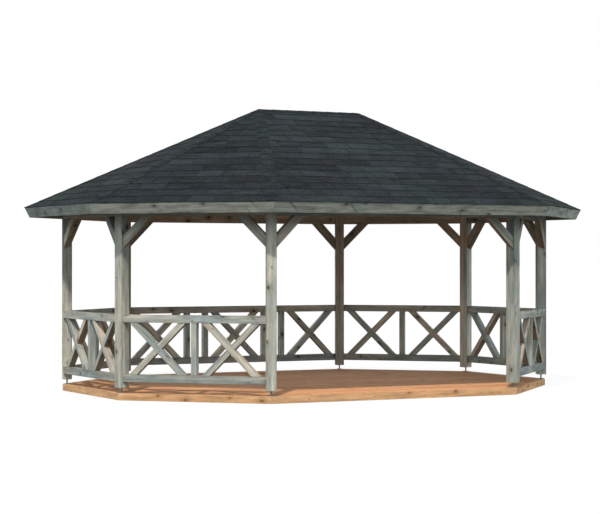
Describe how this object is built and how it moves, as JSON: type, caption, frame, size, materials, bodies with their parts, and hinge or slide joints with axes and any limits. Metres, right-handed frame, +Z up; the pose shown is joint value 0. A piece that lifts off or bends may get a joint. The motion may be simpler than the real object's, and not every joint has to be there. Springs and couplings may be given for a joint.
{
  "type": "garden gazebo",
  "caption": "Open timber gazebo on a long octagon, with square posts, knee braces, crossed railings, a low wooden floor and a hipped shingle roof",
  "frame": {"origin": "the middle of the floor, on the ground", "axes": "+X along the ridge and the long sides, +Z up, the open entrance side faces -Y"},
  "size_m": [7.1416, 5.6416, 3.6842],
  "materials": {
    "grey_wood": "weathered grey-green impregnated softwood, planed, with knots",
    "fascia_wood": "weathered grey-green softwood board",
    "roof_wood": "brown sawn softwood, out of the weather",
    "deck_wood": "orange-brown softwood deck boards",
    "edging_wood": "light brown softwood board",
    "frame_wood": "sawn softwood joists",
    "zinc_steel": "galvanised steel",
    "shingle": "slate-grey mineral bitumen shingle"
  },
  "bodies": {
    "root": {"floor_frame": "frame_wood", "floor_edging": "edging_wood", "floor_deck": "deck_wood", "post_feet": "zinc_steel", "post_front_right": "grey_wood", "post_right_front": "grey_wood", "post_right_back": "grey_wood", "post_back_right": "grey_wood", "post_back_left": "grey_wood", "post_left_back": "grey_wood", "post_left_front": "grey_wood", "post_front_left": "grey_wood", "wall_plates": "grey_wood", "braces_front": "grey_wood", "braces_right": "grey_wood", "braces_back": "grey_wood", "braces_left": "grey_wood", "railing_front_right": "grey_wood", "railing_right": "grey_wood", "railing_back_right": "grey_wood", "railing_back": "grey_wood", "railing_back_left": "grey_wood", "railing_left": "grey_wood", "railing_front_left": "grey_wood", "fascia_sides": "fascia_wood", "fascia_corners": "fascia_wood", "ridge_beam": "roof_wood", "hip_rafters": "roof_wood", "rafters": "roof_wood", "roof_boards_front": "roof_wood", "roof_boards_front_right": "roof_wood", "roof_boards_right": "roof_wood", "roof_boards_back_right": "roof_wood", "roof_boards_back": "roof_wood", "roof_boards_back_left": "roof_wood", "roof_boards_left": "roof_wood", "roof_boards_front_left": "roof_wood", "shingles_front": "shingle", "shingles_front_right": "shingle", "shingles_right": "shingle", "shingles_back_right": "shingle", "shingles_back": "shingle", "shingles_back_left": "shingle", "shingles_left": "shingle", "shingles_front_left": "shingle", "roof_caps": "shingle"}
  },
  "joints": []
}
